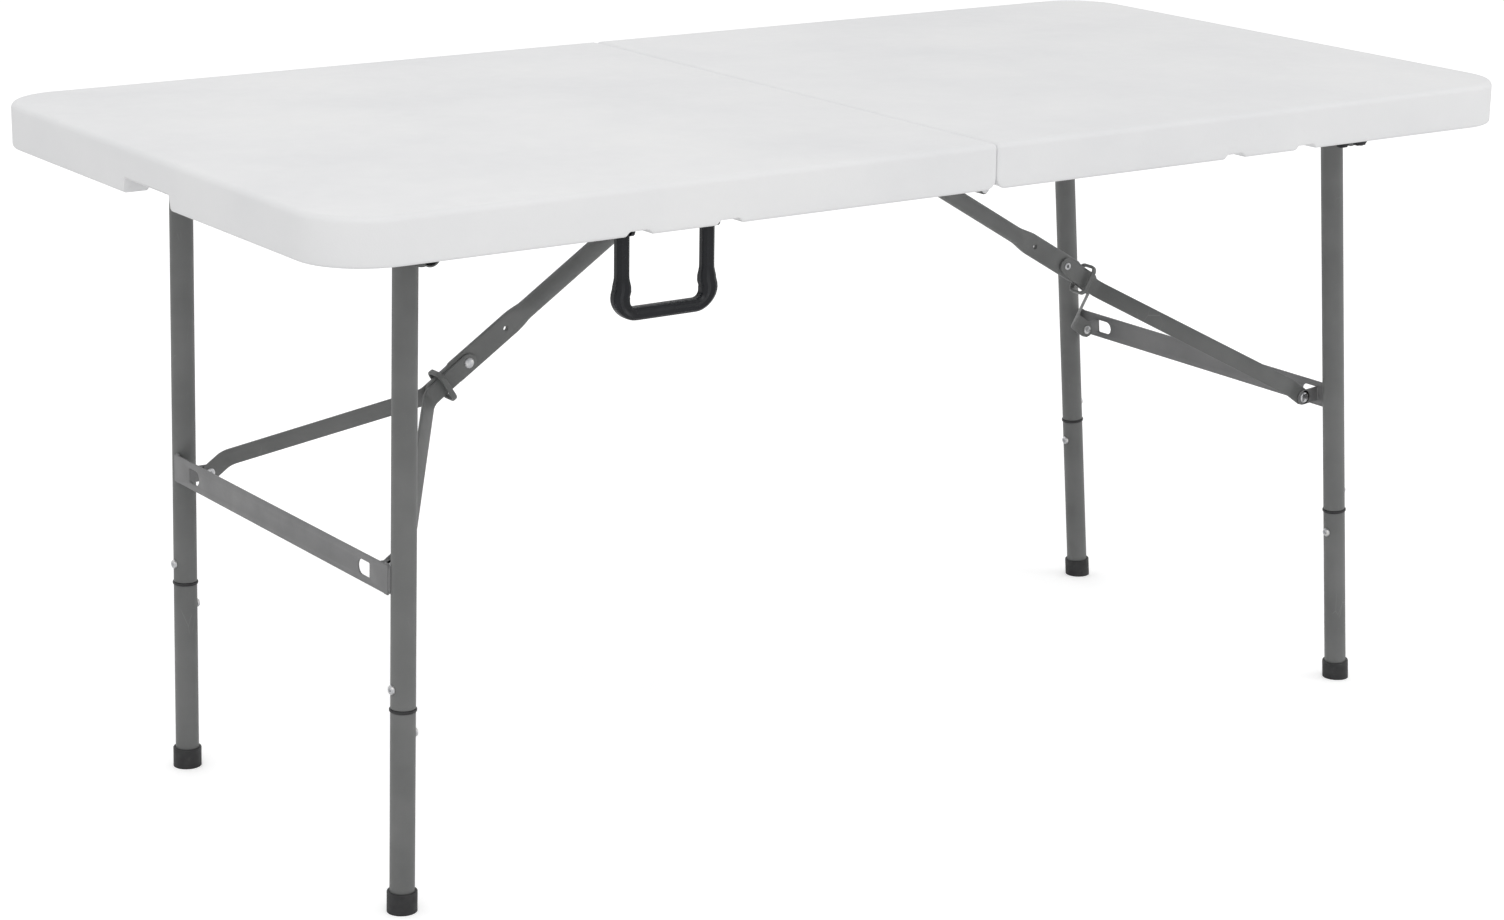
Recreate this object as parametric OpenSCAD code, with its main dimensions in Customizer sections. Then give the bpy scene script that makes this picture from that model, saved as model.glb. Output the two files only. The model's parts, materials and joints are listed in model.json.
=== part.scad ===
// Centre-fold table: two square blow-moulded halves on a steel centre hinge, two folding
// leg frames with Y braces and lock rings, a swing-down carry handle and an edge latch.
// Millimetres. +Z up, floor at z = 0, seam of the two halves at x = 0, length along X.

/* [Top] */
// Overall length of the open table
table_len = 1520; // [1200:10:1840]
// Depth of the table, front to back
table_dep = 760; // [600:10:900]
// Height of the top surface above the floor
table_h = 740; // [650:5:780]
// Height of the moulded edge
edge_h = 48; // [38:1:60]
// Thickness of the middle panel inside the edge
panel_t = 22; // [16:1:30]
// Width of the hollow rim around the underside
rim_w = 28; // [18:1:40]
// Corner radius seen from above
corner_r = 70; // [20:5:120]
// Chamfer that stands for the rounded top edge
edge_c = 4; // [1:0.5:8]
// Half of the closed gap between the two halves at the seam
seam_gap = 0.25; // [0.1:0.05:1]
// Radius of the bottom corners of the front and back edge at the seam
seam_r = 12; // [4:1:20]

/* [Edge notches] */
// Width of the grip notch in each short end
end_notch_w = 100; // [60:5:160]
// Depth of the grip notch in each short end
end_notch_d = 15; // [8:1:24]
// Width of the notches the handle legs swing through
handle_notch_w = 26; // [16:1:34]
// Depth of the notches the handle legs swing through
handle_notch_d = 6; // [3:0.5:12]

/* [Leg frames] */
// Outside diameter of the leg tubes
leg_d = 25.4; // [19:0.1:32]
// Wall of the leg tubes
leg_wall = 1.5; // [1:0.1:2.5]
// Distance of the leg pivots from the seam
pivot_x = 607.5; // [500:0.5:740]
// Height of the leg pivots above the floor
pivot_z = 676; // [600:1:700]
// Half of the distance between the two legs of a frame
leg_y = 241; // [180:1:300]
// Outward lean of the left frame when locked, degrees
lean_left = 1.1; // [0:0.1:6]
// Outward lean of the right frame when locked, degrees
lean_right = 5.1; // [0:0.1:6]
// Distance along the leg from its pivot to the joint of the lower leg
leg_joint = 464; // [380:1:560]
// Diameter of the frame's pivot tube
pivot_d = 22; // [16:0.5:25]
// Half length of the frame's pivot tube
pivot_half = 290; // [260:5:340]

/* [Cross bars] */
// Distance along the leg from its pivot to the middle of the cross bar
bar_dn = 331; // [250:1:420]
// Height of the flat cross bar
bar_h = 30; // [20:1:40]
// Thickness of the flat cross bar
bar_t = 2; // [1.5:0.1:4]
// Half length of the flat cross bar
bar_half = 235; // [200:1:300]
// Outer face of each ear, measured from the middle of the table
ear_y = 201; // [150:1:220]
// Distance of the ear rivet inboard of the leg centre line
ear_in = 9; // [4:1:20]

/* [Braces] */
// Distance of the upper link pivots from the seam
link_x = 90; // [60:1:160]
// Height of the upper link pivots above the floor
link_z = 686; // [640:1:700]
// Diameter of the upper link tube
link_d = 20; // [16:0.5:25]
// Upper link length of the left brace
left_link = 371.35; // [350:0.01:450]
// Arm length of the left brace, knee to ear
left_arm = 246.28; // [180:0.01:260]
// Upper link length of the right brace
right_link = 381.7; // [350:0.01:450]
// Arm length of the right brace, knee to ear
right_arm = 255.4; // [180:0.01:260]
// Width of the flat arms
arm_w = 20; // [14:1:26]
// Thickness of the flat arms
arm_t = 3; // [2:0.5:5]
// Thickness of the flattened link end
flat_t = 6; // [3:0.5:8]
// Distance of the lock ring below the knee rivet when locked
ring_s = 36; // [24:1:60]

/* [Handle and latch] */
// Middle of the carry handle, from the seam
handle_x = 380.5; // [300:0.5:460]
// Distance between the middles of the handle legs
handle_span = 98.4; // [80:0.1:130]
// Drop of the handle below its pivot
handle_drop = 89; // [60:1:120]
// Distance of the handle pivot from the middle of the table
handle_y = 344; // [320:1:350]
// Middle of the edge latch, from the seam
latch_x = 534; // [480:1:580]

/* [Hidden] */
$fn = 64;
L2 = table_len / 2;
W2 = table_dep / 2;
edge_z = table_h - edge_h;
ceil_z = table_h - panel_t;
hinge_z = edge_z - 2;
hinge_y = 345;
hinge_r = 6;
bar_x = leg_d / 2 + 0.05;
handle_off = handle_span / 2 + 2.8;
skin = 2.8;
ear_x = -ear_in;

function lean(s) = s < 0 ? lean_left : lean_right;
function ce(s) = s < 0 ? left_link : right_link;
function eb(s) = s < 0 ? left_arm : right_arm;
// ear rivet in the leg frame's own upright coordinates, outward and up
function b_out(s) = pivot_x + (-ear_in) * cos(lean(s)) + bar_dn * sin(lean(s));
function b_up(s) = pivot_z - bar_dn * cos(lean(s)) - ear_in * sin(lean(s));
function cb(s) = sqrt(pow(b_out(s) - link_x, 2) + pow(b_up(s) - link_z, 2));
function chord(s) = atan2(link_z - b_up(s), b_out(s) - link_x);
function link_a(s) = chord(s) - acos((ce(s) * ce(s) + cb(s) * cb(s) - eb(s) * eb(s)) / (2 * ce(s) * cb(s)));
function knee_out(s) = link_x + ce(s) * cos(link_a(s));
function knee_up(s) = link_z - ce(s) * sin(link_a(s));
function arm_a(s) = atan2(knee_up(s) - b_up(s), b_out(s) - knee_out(s));

white = [0.89, 0.89, 0.90];
steel = [0.42, 0.42, 0.42];
bar_c = [0.48, 0.48, 0.48];
zinc = [0.78, 0.78, 0.80];
black = [0.05, 0.05, 0.06];
rubber = [0.07, 0.07, 0.07];

// Which sub-part to draw

// ---- placement helpers ----

// leg frame coordinates: origin on the pivot, -Z down the legs, +X outward (mirrored for the left)
module leg_frame(s) {
  translate([s * pivot_x, 0, pivot_z]) rotate([0, -s * lean(s), 0]) children();
}

// link coordinates: origin on the knee, +X back along the link towards its table pivot
module link_frame(s) {
  translate([s * knee_out(s), 0, knee_up(s)]) rotate([0, s < 0 ? -link_a(s) : 180 + link_a(s), 0]) children();
}

// arm coordinates: origin on the knee, +X from the knee towards the ears
module arm_frame(s) {
  translate([s * knee_out(s), 0, knee_up(s)]) rotate([0, s < 0 ? 180 - arm_a(s) : arm_a(s), 0]) children();
}

module ycyl(r, y0, y1) {
  translate([0, y1, 0]) rotate([90, 0, 0]) cylinder(r = r, h = y1 - y0);
}

// ---- top halves, drawn for the right side and mirrored for the left ----

module half_outline(grow = 0) {
  difference() {
    translate([seam_gap, -W2]) square([L2 - seam_gap, table_dep]);
    for (sy = [-1, 1])
      translate([L2 - corner_r, sy * (W2 - corner_r)]) difference() {
        translate([0, sy > 0 ? 0 : -corner_r]) square([corner_r, corner_r]);
        circle(r = corner_r, $fn = 96);
      }
  }
}

module half_top() {
  difference() {
    translate([0, 0, edge_z]) linear_extrude(height = edge_h) half_outline();
    // chamfer along the top edges and round the corners
    for (sy = [-1, 1]) {
      translate([-1, sy * W2, table_h]) rotate([45, 0, 0]) translate([0, -edge_c * 0.7071, -edge_c * 0.7071])
        cube([L2 + 2, edge_c * 1.4142, edge_c * 1.4142]);
      translate([L2 - corner_r, sy * (W2 - corner_r), 0]) intersection() {
        translate([0, sy > 0 ? 0 : -corner_r - 2, table_h - edge_c - 2]) cube([corner_r + 2, corner_r + 2, edge_c + 4]);
        rotate_extrude($fn = 96) polygon([[corner_r + 0.01, table_h - edge_c], [corner_r - edge_c, table_h + 0.01],
          [corner_r - edge_c, table_h + 1], [corner_r + 1, table_h + 1], [corner_r + 1, table_h - edge_c]]);
      }
    }
    translate([L2, -W2 - 1, table_h]) rotate([0, 45, 0]) translate([-edge_c * 0.7071, 0, -edge_c * 0.7071])
      cube([edge_c * 1.4142, table_dep + 2, edge_c * 1.4142]);
    // sealed hollow between the two walls of the panel and inside the rims
    translate([skin + 2, -W2 + skin + 2, ceil_z + skin]) linear_extrude(height = panel_t - 2 * skin - 1) difference() {
      square([L2 - 2 * skin - 4, table_dep - 2 * skin - 4]);
      for (sy = [0, 1]) translate([L2 - 2 * skin - 4 - 66, sy * (table_dep - 2 * skin - 4 - 66)]) difference() {
        square([66.01, 66]);
        translate([0, sy > 0 ? 0 : 66]) circle(r = 66, $fn = 64);
      }
    }
    for (sy = [-1, 1]) for (x = [[80, handle_x - handle_off - 22], [handle_x - handle_off + 22, handle_x + handle_off - 22], [handle_x + handle_off + 22, L2 - 80]])
      translate([x[0], sy > 0 ? W2 - rim_w + skin : -W2 + skin, edge_z + skin]) cube([x[1] - x[0], rim_w - 2 * skin, ceil_z - edge_z + 1]);
    for (y = [-W2 + 80, end_notch_w / 2 + 6]) {
      translate([L2 - rim_w + skin, y, edge_z + skin]) cube([rim_w - 2 * skin, W2 - 80 - end_notch_w / 2 - 6, ceil_z - edge_z + 1]);
    }
    translate([seam_r + skin, -hinge_y + 30, edge_z + skin]) cube([rim_w - seam_r - 2 * skin, 2 * hinge_y - 60, ceil_z - edge_z + 1]);
    // recess under the panel
    translate([rim_w, -W2 + rim_w, edge_z - 1])
      linear_extrude(height = edge_h - panel_t + 1) difference() {
        square([L2 - 2 * rim_w, table_dep - 2 * rim_w]);
        for (sy = [0, 1])
          translate([L2 - 2 * rim_w - 45, sy * (table_dep - 2 * rim_w - 45)]) difference() {
            square([45.01, 45]);
            translate([0, sy > 0 ? 0 : 45]) circle(r = 45, $fn = 64);
          }
      }
    // grip notch in the short end
    translate([L2 - rim_w - 5, -end_notch_w / 2, edge_z - 1]) cube([rim_w + 10, end_notch_w, end_notch_d + 1]);
    // notches for the handle legs
    for (x = [handle_x - handle_off, handle_x + handle_off])
      translate([x - handle_notch_w / 2, -W2 - 5, edge_z - 1]) cube([handle_notch_w, rim_w + 10, handle_notch_d + 1]);
    // rounded bottom corners at the seam
    difference() {
      translate([-1, -W2 - 1, edge_z - 1]) cube([seam_r + 1 + seam_gap, table_dep + 2, seam_r + 1]);
      translate([seam_r + seam_gap, 0, edge_z + seam_r]) ycyl(seam_r, -W2 - 2, W2 + 2);
    }
    // pockets of the hinge knuckles in the seam edge
    for (sy = [-1, 1]) {
      translate([-1, sy * hinge_y - 18, edge_z - 1]) cube([11, 36, 9]);
      translate([-1, sy * hinge_y - 18, edge_z - 1]) cube([75, 36, hinge_z + hinge_r - edge_z + 1]);
    }
  }
}

module top_left() color(white) mirror([1, 0, 0]) half_top();
module top_right() color(white) half_top();

// ---- steel rails along the long edges, under the panel ----

rail_y0 = 312;
rail_y1 = 336;

module rail(s, sy) {
  color(steel) difference() {
    translate([s > 0 ? 34 : -(L2 - 60), sy > 0 ? rail_y0 : -rail_y1, ceil_z - 12]) cube([L2 - 94, rail_y1 - rail_y0, 12]);
    translate([s > 0 ? 33 : -(L2 - 59), sy > 0 ? rail_y0 + 2 : -rail_y1 + 2, ceil_z - 13]) cube([L2 - 92, rail_y1 - rail_y0 - 4, 11]);
  }
}

module left_rail_front() rail(-1, -1);
module left_rail_rear() rail(-1, 1);
module right_rail_front() rail(1, -1);
module right_rail_rear() rail(1, 1);

// ---- centre hinge ----

leaf_t = 2.5;

module leaf(s, sy, y0, y1) {
  // strap under the rim and a knuckle on the axis
  difference() {
    union() {
      translate([s > 0 ? 0 : -70, y0, hinge_z + hinge_r - leaf_t]) cube([70, y1 - y0, leaf_t]);
      translate([0, 0, hinge_z]) ycyl(hinge_r, y0, y1);
    }
    translate([0, 0, hinge_z]) ycyl(3.05, y0 - 1, y1 + 1);
  }
}

module hinge_leaves_left() color(steel) for (sy = [-1, 1]) {
  leaf(-1, sy, sy * hinge_y - 15, sy * hinge_y - 5.2);
  leaf(-1, sy, sy * hinge_y + 5.2, sy * hinge_y + 15);
}
module hinge_leaves_right() color(steel) for (sy = [-1, 1])
  leaf(1, sy, sy * hinge_y - 4.9, sy * hinge_y + 4.9);
module hinge_pins() color(zinc) for (sy = [-1, 1])
  translate([0, 0, hinge_z]) {
    ycyl(3, sy * hinge_y - 15.5, sy * hinge_y + 15.5);
    ycyl(4.6, sy * hinge_y - 17, sy * hinge_y - 15.5);
    ycyl(4.6, sy * hinge_y + 15.5, sy * hinge_y + 17);
  }

// ---- leg pivots ----

bracket_y = 272;

module leg_brackets(s) color(steel) for (sy = [-1, 1]) translate([s * pivot_x, sy * bracket_y, 0]) difference() {
  union() {
    translate([-14, -2, pivot_z]) cube([28, 4, ceil_z - pivot_z]);
    translate([0, 0, pivot_z]) ycyl(14, -2, 2);
    translate([-22, -14, ceil_z - 2.5]) cube([44, 28, 2.5]);
  }
  translate([0, 0, pivot_z]) ycyl(pivot_d / 2 + 0.08, -5, 5);
}
module left_leg_brackets() leg_brackets(-1);
module right_leg_brackets() leg_brackets(1);

module pivot_tube(s) color(steel) translate([s * pivot_x, 0, pivot_z]) difference() {
  ycyl(pivot_d / 2, -pivot_half, pivot_half);
  ycyl(pivot_d / 2 - 1.5, -pivot_half - 1, pivot_half + 1);
}
module left_pivot_tube() pivot_tube(-1);
module right_pivot_tube() pivot_tube(1);

// ---- legs ----

module upper_leg(s, sy) color(steel) leg_frame(s) translate([0, sy * leg_y, 0]) difference() {
  translate([0, 0, -leg_joint + 1.6]) cylinder(d = leg_d, h = leg_joint - 1.6);
  translate([0, 0, -leg_joint]) cylinder(d = leg_d - 2 * leg_wall, h = leg_joint - pivot_d / 2 - 2);
  ycyl(pivot_d / 2 + 0.05, -30, 30);
  translate([-20, -20, -3]) cube([40, 40, 10]);
  // holes of the sleeve screws
  translate([0, 0, -leg_joint + 22]) rotate([0, s * 90, 0]) translate([0, 0, -1]) cylinder(r = 2.6, h = 20);
}
module left_leg_front() upper_leg(-1, -1);
module left_leg_rear() upper_leg(-1, 1);
module right_leg_front() upper_leg(1, -1);
module right_leg_rear() upper_leg(1, 1);

foot_r = 15.5;
cap_h = 22;
function leg_len(s) = pivot_z / cos(lean(s));

module lower_leg(s, sy) color(steel) leg_frame(s) translate([0, sy * leg_y, 0]) difference() {
  translate([0, 0, -leg_len(s) + 6]) cylinder(d = leg_d, h = leg_len(s) - 6 - leg_joint - 1.6);
  translate([0, 0, -leg_len(s)]) cylinder(d = leg_d - 2 * leg_wall, h = leg_len(s) - leg_joint + 2);
  translate([0, 0, -leg_joint - 26]) rotate([0, -s * 90, 0]) translate([0, 0, -1]) cylinder(r = 2.6, h = 20);
}
module left_lower_leg_front() lower_leg(-1, -1);
module left_lower_leg_rear() lower_leg(-1, 1);
module right_lower_leg_front() lower_leg(1, -1);
module right_lower_leg_rear() lower_leg(1, 1);

module leg_sleeves(s) color(zinc) for (sy = [-1, 1]) leg_frame(s) translate([0, sy * leg_y, -leg_joint]) difference() {
  translate([0, 0, -45]) cylinder(r = leg_d / 2 - leg_wall - 0.1, h = 90);
  translate([0, 0, -46]) cylinder(r = leg_d / 2 - leg_wall - 1.8, h = 92);
  translate([0, 0, 22]) rotate([0, s * 90, 0]) cylinder(r = 2.6, h = 20);
  translate([0, 0, -26]) rotate([0, -s * 90, 0]) cylinder(r = 2.6, h = 20);
}
module left_leg_sleeves() leg_sleeves(-1);
module right_leg_sleeves() leg_sleeves(1);

module leg_collars(s) color(black) for (sy = [-1, 1]) leg_frame(s) translate([0, sy * leg_y, -leg_joint]) difference() {
  translate([0, 0, -1.5]) cylinder(r = leg_d / 2 + 1.2, h = 3);
  translate([0, 0, -2.5]) cylinder(r = leg_d / 2 - leg_wall, h = 5);
}
module left_leg_collars() leg_collars(-1);
module right_leg_collars() leg_collars(1);

// pan-head screws, the upper on the outer face, the lower on the inner face
module pan_screw() {
  translate([0, 0, leg_d / 2 + 0.02]) difference() {
    cylinder(r1 = 5, r2 = 4, h = 2.8);
    for (a = [0, 90]) rotate([0, 0, a]) translate([-2.6, -0.45, 1.6]) cube([5.2, 0.9, 2]);
  }
  translate([0, 0, leg_d / 2 - 8]) cylinder(r = 2.45, h = 8.5);
}
module leg_screws(s) color(zinc) for (sy = [-1, 1]) leg_frame(s) translate([0, sy * leg_y, -leg_joint]) {
  translate([0, 0, 22]) rotate([0, s * 90, 0]) pan_screw();
  translate([0, 0, -26]) rotate([0, -s * 90, 0]) pan_screw();
}
module left_leg_screws() leg_screws(-1);
module right_leg_screws() leg_screws(1);

module foot_caps(s) color(rubber) for (sy = [-1, 1]) difference() {
  leg_frame(s) translate([0, sy * leg_y, 0]) difference() {
    translate([0, 0, -leg_len(s) - 3]) cylinder(r = foot_r, h = cap_h + 3);
    translate([0, 0, -leg_len(s) + 5.8]) cylinder(r = leg_d / 2 + 0.03, h = cap_h);
  }
  translate([s * 640 - 200, sy * leg_y - 50, -20]) cube([400, 100, 20]);
}
module left_foot_caps() foot_caps(-1);
module right_foot_caps() foot_caps(1);

// ---- cross bars with folded ears ----

module cross_bar(s) color(bar_c) leg_frame(s) mirror([s < 0 ? 1 : 0, 0, 0]) translate([0, 0, -bar_dn]) {
  difference() {
    union() {
      translate([bar_x, -bar_half, -bar_h / 2]) cube([bar_t, 2 * bar_half, bar_h]);
      // ears folded inboard from the D-holes
      for (sy = [-1, 1]) {
        translate([ear_x, sy > 0 ? ear_y - bar_t : -ear_y, -9]) cube([bar_x - ear_x + 0.1, bar_t, 18]);
        translate([ear_x, 0, 0]) ycyl(9, sy > 0 ? ear_y - bar_t : -ear_y, sy > 0 ? ear_y : -ear_y + bar_t);
      }
    }
    for (sy = [-1, 1]) {
      // D-hole, straight side at the ear
      translate([bar_x - 1, sy > 0 ? 181 : -ear_y + bar_t, -8]) cube([bar_t + 2, ear_y - bar_t - 181, 16]);
      translate([bar_x - 1, sy * 183, 0]) rotate([0, 90, 0]) cylinder(r = 8, h = bar_t + 2);
      translate([ear_x, 0, 0]) ycyl(3.05, sy > 0 ? ear_y - bar_t - 1 : -ear_y - 1, sy > 0 ? ear_y + 1 : -ear_y + bar_t + 1);
    }
  }
}
module left_cross_bar() cross_bar(-1);
module right_cross_bar() cross_bar(1);

arm_out_y = ear_y - bar_t - 0.3;

module ear_rivets(s) color(zinc) leg_frame(s) mirror([s < 0 ? 1 : 0, 0, 0]) translate([ear_x, 0, -bar_dn]) for (sy = [-1, 1]) mirror([0, sy < 0 ? 1 : 0, 0]) {
  ycyl(2.98, arm_out_y - arm_t - 0.2, ear_y + 0.2);
  translate([0, ear_y + 0.05, 0]) rotate([-90, 0, 0]) cylinder(r1 = 6.5, r2 = 3.5, h = 2.4);
  translate([0, arm_out_y - arm_t - 0.05, 0]) rotate([90, 0, 0]) cylinder(r1 = 5.5, r2 = 4, h = 1.6);
}
module left_ear_rivets() ear_rivets(-1);
module right_ear_rivets() ear_rivets(1);

// ---- braces ----

flat_len = 66;
flare_len = 24;
tip_len = 56.5;
tip_r = 10.5;
gap_y = 0.15;

// tube that is pressed flat at its lower end
module upper_link(s) color(steel) link_frame(s) difference() {
  union() {
    translate([flat_len + flare_len, 0, 0]) rotate([0, 90, 0]) cylinder(d = link_d, h = ce(s) - flat_len - flare_len);
    // flattened end: wide past the knee, a short shoulder, then a tongue with a round tip
    translate([-tip_len + tip_r, 0, 0]) ycyl(tip_r, -flat_t / 2, flat_t / 2);
    translate([0, flat_t / 2, 0]) rotate([90, 0, 0]) linear_extrude(height = flat_t)
      polygon([[-tip_len + tip_r, -tip_r], [-24, -tip_r], [-17, -13], [flat_len + 1, -13], [flat_len + 1, 13], [-17, 13], [-24, tip_r], [-tip_len + tip_r, tip_r]]);
    // flare between the flat and the round tube
    intersection() {
      translate([flat_len, 0, 0]) rotate([0, 90, 0]) cylinder(r1 = 13, r2 = link_d / 2, h = flare_len);
      translate([0, 0, -20]) linear_extrude(height = 40)
        polygon([[flat_len, -flat_t / 2], [flat_len + flare_len, -link_d / 2], [flat_len + flare_len, link_d / 2], [flat_len, flat_t / 2]]);
    }
  }
  // saddle on the pivot tube, pivot hole and small hole
  translate([ce(s), 0, 0]) ycyl(7.95, -20, 20);
  translate([ce(s), -20, -20]) cube([20, 40, 40]);
  translate([flat_len + flare_len + 4, 0, 0]) rotate([0, 90, 0]) cylinder(d = link_d - 2.4, h = ce(s) - flat_len - flare_len - 14);
  ycyl(3.06, -10, 10);
  translate([56, 0, 0]) ycyl(3, -10, 10);
}
module left_upper_link() upper_link(-1);
module right_upper_link() upper_link(1);

// welded cross tube on the link's upper end, on the table pivot
module link_pivot(s) color(steel) translate([s * link_x, 0, link_z]) difference() {
  ycyl(7.9, -34, 34);
  ycyl(5.9, -35, 35);
}
module left_link_pivot() link_pivot(-1);
module right_link_pivot() link_pivot(1);

module link_bracket(s) color(steel) translate([s * link_x, 0, 0]) difference() {
  union() {
    for (sy = [-1, 1]) {
      translate([-14, sy * 28 - 1.5, link_z]) cube([28, 3, ceil_z - link_z]);
      translate([0, 0, link_z]) ycyl(14, sy * 28 - 1.5, sy * 28 + 1.5);
    }
    translate([-20, -44, ceil_z - 2.5]) cube([40, 88, 2.5]);
  }
  translate([0, 0, link_z]) ycyl(7.98, -50, 50);
}
module left_link_bracket() link_bracket(-1);
module right_link_bracket() link_bracket(1);

module bracket_screws(s) color(zinc) {
  for (sy = [-1, 1], dx = [-16, 16]) translate([s * pivot_x + dx, sy * (bracket_y + 9), ceil_z - 4.6]) cylinder(r1 = 3, r2 = 3.8, h = 2);
  for (sy = [-1, 1], dx = [-13, 13]) translate([s * link_x + dx, sy * 38, ceil_z - 4.6]) cylinder(r1 = 3, r2 = 3.8, h = 2);
}
module left_bracket_screws() bracket_screws(-1);
module right_bracket_screws() bracket_screws(1);

// flat arm: straight beside the link, bent out to the ear, straight again at the ear
module arm(s, sy) {
  y0 = flat_t / 2 + gap_y;
  y1 = arm_out_y - arm_t;
  len = eb(s);
  p = [[0, y0], [58, y0], [len - 24, y1], [len, y1]];
  color(steel) arm_frame(s) mirror([0, sy < 0 ? 1 : 0, 0]) difference() {
    union() {
      ycyl(arm_w / 2, y0, y0 + arm_t);
      translate([len, 0, 0]) ycyl(arm_w / 2, y1, y1 + arm_t);
      translate([0, 0, -arm_w / 2]) linear_extrude(height = arm_w)
        polygon([p[0], p[1], p[2], p[3], p[3] + [0, arm_t], p[2] + [-2.4, arm_t], p[1] + [-2.4, arm_t], p[0] + [0, arm_t]]);
    }
    ycyl(3.06, y0 - 5, y0 + arm_t + 5);
    translate([len, 0, 0]) ycyl(3.06, y1 - 5, y1 + arm_t + 5);
  }
}
module left_arm_front() arm(-1, -1);
module left_arm_rear() arm(-1, 1);
module right_arm_front() arm(1, -1);
module right_arm_rear() arm(1, 1);

module knee_rivet(s) color(zinc) arm_frame(s) {
  ycyl(3, -flat_t / 2 - arm_t - 0.7, flat_t / 2 + arm_t + 0.7);
  for (sy = [-1, 1]) mirror([0, sy < 0 ? 1 : 0, 0]) translate([0, flat_t / 2 + arm_t + gap_y + 0.02, 0]) rotate([-90, 0, 0]) cylinder(r1 = 6, r2 = 3.5, h = 2.6);
}
module left_knee_rivet() knee_rivet(-1);
module right_knee_rivet() knee_rivet(1);

// oval lock ring of flat bar
ring_z = 15.6;
ring_y = 11;
ring_t = 3.2;
ring_w = 6;

module lock_ring(s) color(steel) link_frame(s) translate([-ring_s, 0, 0]) rotate([0, 90, 0]) translate([0, 0, -ring_w / 2]) {
  linear_extrude(height = ring_w) difference() {
    union() {
      square([2 * (ring_z - 5.5), 2 * (ring_y + ring_t)], center = true);
      square([2 * (ring_z + ring_t), 2 * (ring_y - 5.5)], center = true);
      for (a = [-1, 1], b = [-1, 1]) translate([a * (ring_z - 5.5), b * (ring_y - 5.5)]) circle(r = 5.5 + ring_t, $fn = 48);
    }
    square([2 * (ring_z - 5.5), 2 * ring_y], center = true);
    square([2 * ring_z, 2 * (ring_y - 5.5)], center = true);
    for (a = [-1, 1], b = [-1, 1]) translate([a * (ring_z - 5.5), b * (ring_y - 5.5)]) circle(r = 5.5, $fn = 48);
  }
}
module left_lock_ring() lock_ring(-1);
module right_lock_ring() lock_ring(1);

// ---- carry handle ----

h_z = edge_z - 2;
h_t = 11;

module carry_handle() color(black) translate([-handle_x, -handle_y, h_z]) difference() {
  union() {
    for (sx = [-1, 1]) {
      translate([sx * handle_span / 2, 0, 0]) rotate([0, 90, 0]) translate([0, 0, -7]) cylinder(r = h_t / 2, h = 14);
      translate([sx * handle_span / 2 - 7, -h_t / 2, -51]) cube([14, h_t, 51]);
    }
    // wider grip section
    translate([-handle_span / 2 - 12.5, h_t / 2 + 1.5, 0]) rotate([90, 0, 0]) linear_extrude(height = h_t + 3)
      difference() {
        hgrip(handle_span + 25, -handle_drop, -50, 14);
        translate([20.5, 0]) hgrip(handle_span + 25 - 41, -handle_drop + 13, -49, 12);
      }
  }
  for (sx = [-1, 1]) translate([sx * handle_span / 2 - 10, 0, 0]) rotate([0, 90, 0]) cylinder(r = 2.56, h = 20);
}

// rectangle with round bottom corners, from x = 0 to w and z0 to z1
module hgrip(w, z0, z1, r) {
  translate([0, z0 + r]) square([w, z1 - z0 - r]);
  translate([r, z0]) square([w - 2 * r, r + 0.01]);
  for (x = [r, w - r]) translate([x, z0 + r]) circle(r = r, $fn = 48);
}

module handle_brackets() color(black) for (sx = [-1, 1]) translate([-handle_x + sx * handle_span / 2, -handle_y, 0]) {
  for (d = [-1, 1]) {
    translate([d * 9.5 - 2, -6, h_z]) cube([4, 12, ceil_z - h_z]);
    translate([d * 9.5 - 2, 0, h_z]) rotate([0, 90, 0]) cylinder(r = 6, h = 4);
  }
  translate([-11, 0, h_z]) rotate([0, 90, 0]) cylinder(r = 2.5, h = 22);
}

// ---- edge latch ----

latch_y = 346;

module latch_base() color(black) translate([latch_x, -latch_y, 0]) {
  difference() {
    translate([-26, -5, edge_z + 2]) cube([52, 10, ceil_z - edge_z - 2]);
    translate([-21, -6, edge_z - 1]) cube([42, 12, 14]);
  }
  translate([-22, 0, edge_z + 7]) rotate([0, 90, 0]) cylinder(r = 1.5, h = 44);
}
module latch_hook() color(black) translate([latch_x, -latch_y, edge_z + 7]) difference() {
  union() {
    rotate([0, 90, 0]) translate([0, 0, -20.5]) cylinder(r = 4, h = 41);
    translate([-20.5, -4, -14]) cube([41, 8, 14]);
    // two teeth, the left one tapered
    translate([0, 4, 0]) rotate([90, 0, 0]) linear_extrude(height = 8) polygon([[-20.5, -13.9], [-19, -18.5], [-9, -18.5], [-5, -13.9]]);
    translate([6, -4, -18.5]) cube([14, 8, 5]);
  }
  rotate([0, 90, 0]) translate([0, 0, -22]) cylinder(r = 1.55, h = 44);
}
module latch_catch() color(black) translate([-latch_x, -latch_y, 0]) difference() {
  translate([-24, -4, edge_z + 3]) cube([48, 8, ceil_z - edge_z - 3]);
  translate([-18, -5, edge_z + 2]) cube([36, 5, 9]);
}

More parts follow.
